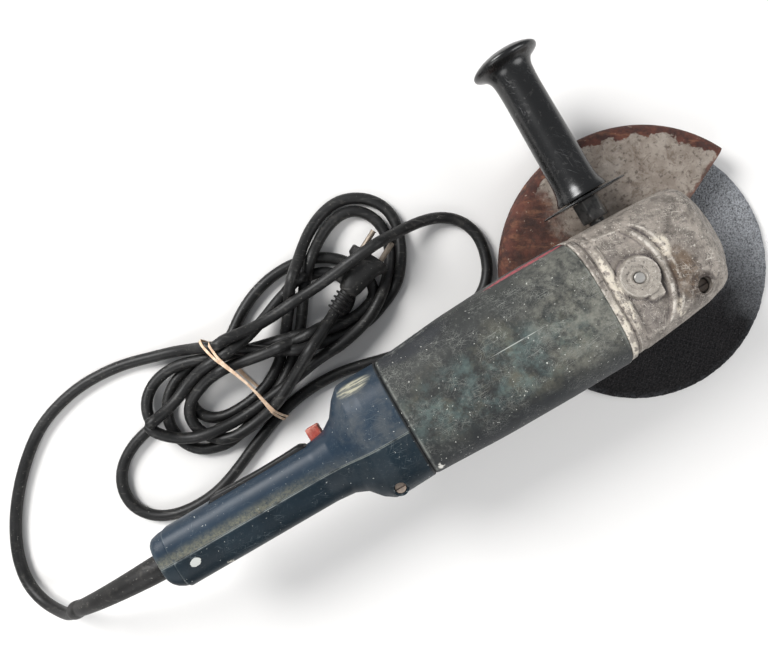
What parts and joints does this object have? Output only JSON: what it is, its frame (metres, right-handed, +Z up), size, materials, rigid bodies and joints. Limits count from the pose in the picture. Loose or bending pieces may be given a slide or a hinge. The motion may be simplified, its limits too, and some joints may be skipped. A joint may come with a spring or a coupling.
{
  "type": "angle grinder",
  "caption": "Two-hand angle grinder with depressed-centre disc, swivelling guard, screw-in side handle, trigger handle, lock-on button, spindle lock and a banded mains lead with plug.",
  "frame": {"origin": "centre of the footprint of the tool without its lead, on the table that the disc lies on", "axes": "+X from the handle to the gear head, +Y towards the side handle and the trigger, +Z up along the spindle"},
  "size_m": [0.7227, 0.32, 0.1315],
  "materials": {
    "cast_aluminium": "dirty grey die casting, scratched, with bright chips on its edges",
    "bright_steel": "plain machined steel",
    "dark_steel": "darkened steel",
    "rusty_sheet": "pressed sheet, grey and dirty with red-brown rust on its rim and one side",
    "abrasive": "dark resin-bonded abrasive with a grainy grey-blue rim",
    "worn_housing": "dark blue-green plastic, covered with fine pale scratches",
    "blue_plastic": "navy blue plastic, worn and dusty along its seam",
    "black_plastic": "black, half-gloss",
    "black_rubber": "black rubber, half-matt",
    "red_plastic": "worn red plastic",
    "copper": "varnished copper",
    "carbon": "pressed carbon",
    "tan_rubber": "tan rubber band"
  },
  "bodies": {
    "tool": {"air_baffle": "black_plastic", "bearing_bridge": "black_plastic", "bearing_bush": "black_rubber", "bearing_flange": "cast_aluminium", "brush_holder_far": "black_plastic", "brush_holder_near": "black_plastic", "capacitor": "black_plastic", "cord_arch": "black_rubber", "cord_bundle": "black_rubber", "cord_lower_loop": "black_rubber", "cord_tail": "black_rubber", "field_coil_lower": "copper", "field_coil_upper": "copper", "flange_screw_1": "dark_steel", "flange_screw_2": "dark_steel", "flange_screw_3": "dark_steel", "flange_screw_4": "dark_steel", "front_bearing": "bright_steel", "gear_case": "cast_aluminium", "hand_shield": "black_plastic", "handle_screw_lower": "dark_steel", "handle_screw_upper": "dark_steel", "handle_shell_back": "blue_plastic", "handle_shell_trigger": "blue_plastic", "lock_spring": "bright_steel", "motor_housing": "worn_housing", "needle_bearing": "bright_steel", "plug_body": "black_rubber", "plug_pin_left": "bright_steel", "plug_pin_right": "bright_steel", "rear_bearing": "bright_steel", "rubber_band": "tan_rubber", "side_handle_grip": "black_plastic", "side_handle_stud": "bright_steel", "spindle_bearing": "bright_steel", "stator_core": "dark_steel", "strain_relief": "black_rubber", "switch_block": "black_plastic", "top_screw": "dark_steel", "trigger_pin": "bright_steel"},
    "spindle": {"spindle": "bright_steel", "crown_gear": "bright_steel", "inner_flange": "dark_steel", "grinding_disc": "abrasive", "locking_nut": "dark_steel"},
    "armature": {"armature_shaft": "bright_steel", "pinion": "bright_steel", "lock_collar": "bright_steel", "rotor_core": "dark_steel", "rotor_winding": "copper", "commutator": "copper", "cooling_fan": "black_plastic"},
    "guard": {"guard": "rusty_sheet", "guard_clamp_screw": "dark_steel"},
    "trigger": {"trigger": "black_plastic"},
    "switch_plunger": {"switch_plunger": "red_plastic"},
    "lock_on_button": {"lock_on_button": "red_plastic"},
    "lock_pin": {"lock_pin": "bright_steel"},
    "brush_near": {"carbon_brush_near": "carbon"},
    "brush_far": {"carbon_brush_far": "carbon"}
  },
  "joints": [
    {"name": "spindle_spin", "type": "hinge", "parent": "tool", "child": "spindle", "pos_m": [0.1705, -0.045, 0.04], "axis": [0, 0, 1], "continuous": true},
    {"name": "armature_spin", "type": "hinge", "parent": "tool", "child": "armature", "pos_m": [0.0705, -0.045, 0.081], "axis": [1, 0, 0], "continuous": true},
    {"name": "guard_swivel", "type": "hinge", "parent": "tool", "child": "guard", "pos_m": [0.1705, -0.045, 0.03], "axis": [0, 0, 1], "range_deg": [-90, 90]},
    {"name": "trigger_pull", "type": "hinge", "parent": "tool", "child": "trigger", "pos_m": [-0.2255, -0.035, 0.081], "axis": [0, 0, -1], "range_deg": [0, 5], "stiffness_Nm_per_rad": 2, "springref_deg": -5.73},
    {"name": "plunger_slide", "type": "slide", "parent": "tool", "child": "switch_plunger", "axis": [0, -1, 0], "range_m": [0, 0.0046]},
    {"name": "lock_button_press", "type": "slide", "parent": "tool", "child": "lock_on_button", "axis": [0, -1, 0], "range_m": [0, 0.004], "stiffness_N_per_m": 300, "springref_m": -0.004},
    {"name": "lock_pin_press", "type": "slide", "parent": "tool", "child": "lock_pin", "axis": [0, 0, -1], "range_m": [0, 0.004], "stiffness_N_per_m": 800, "springref_m": -0.006, "deforming": ["lock_spring"]},
    {"name": "brush_near_slide", "type": "slide", "parent": "tool", "child": "brush_near", "axis": [0, 1, 0], "range_m": [0, 0.006], "stiffness_N_per_m": 100, "springref_m": -0.02},
    {"name": "brush_far_slide", "type": "slide", "parent": "tool", "child": "brush_far", "axis": [0, -1, 0], "range_m": [0, 0.006], "stiffness_N_per_m": 100, "springref_m": -0.02}
  ],
  "couplings": [
    {"joint": "armature_spin", "follows": "spindle_spin", "ratio": -3.6},
    {"joint": "plunger_slide", "follows": "trigger_pull", "m_per_rad": 0.051}
  ]
}
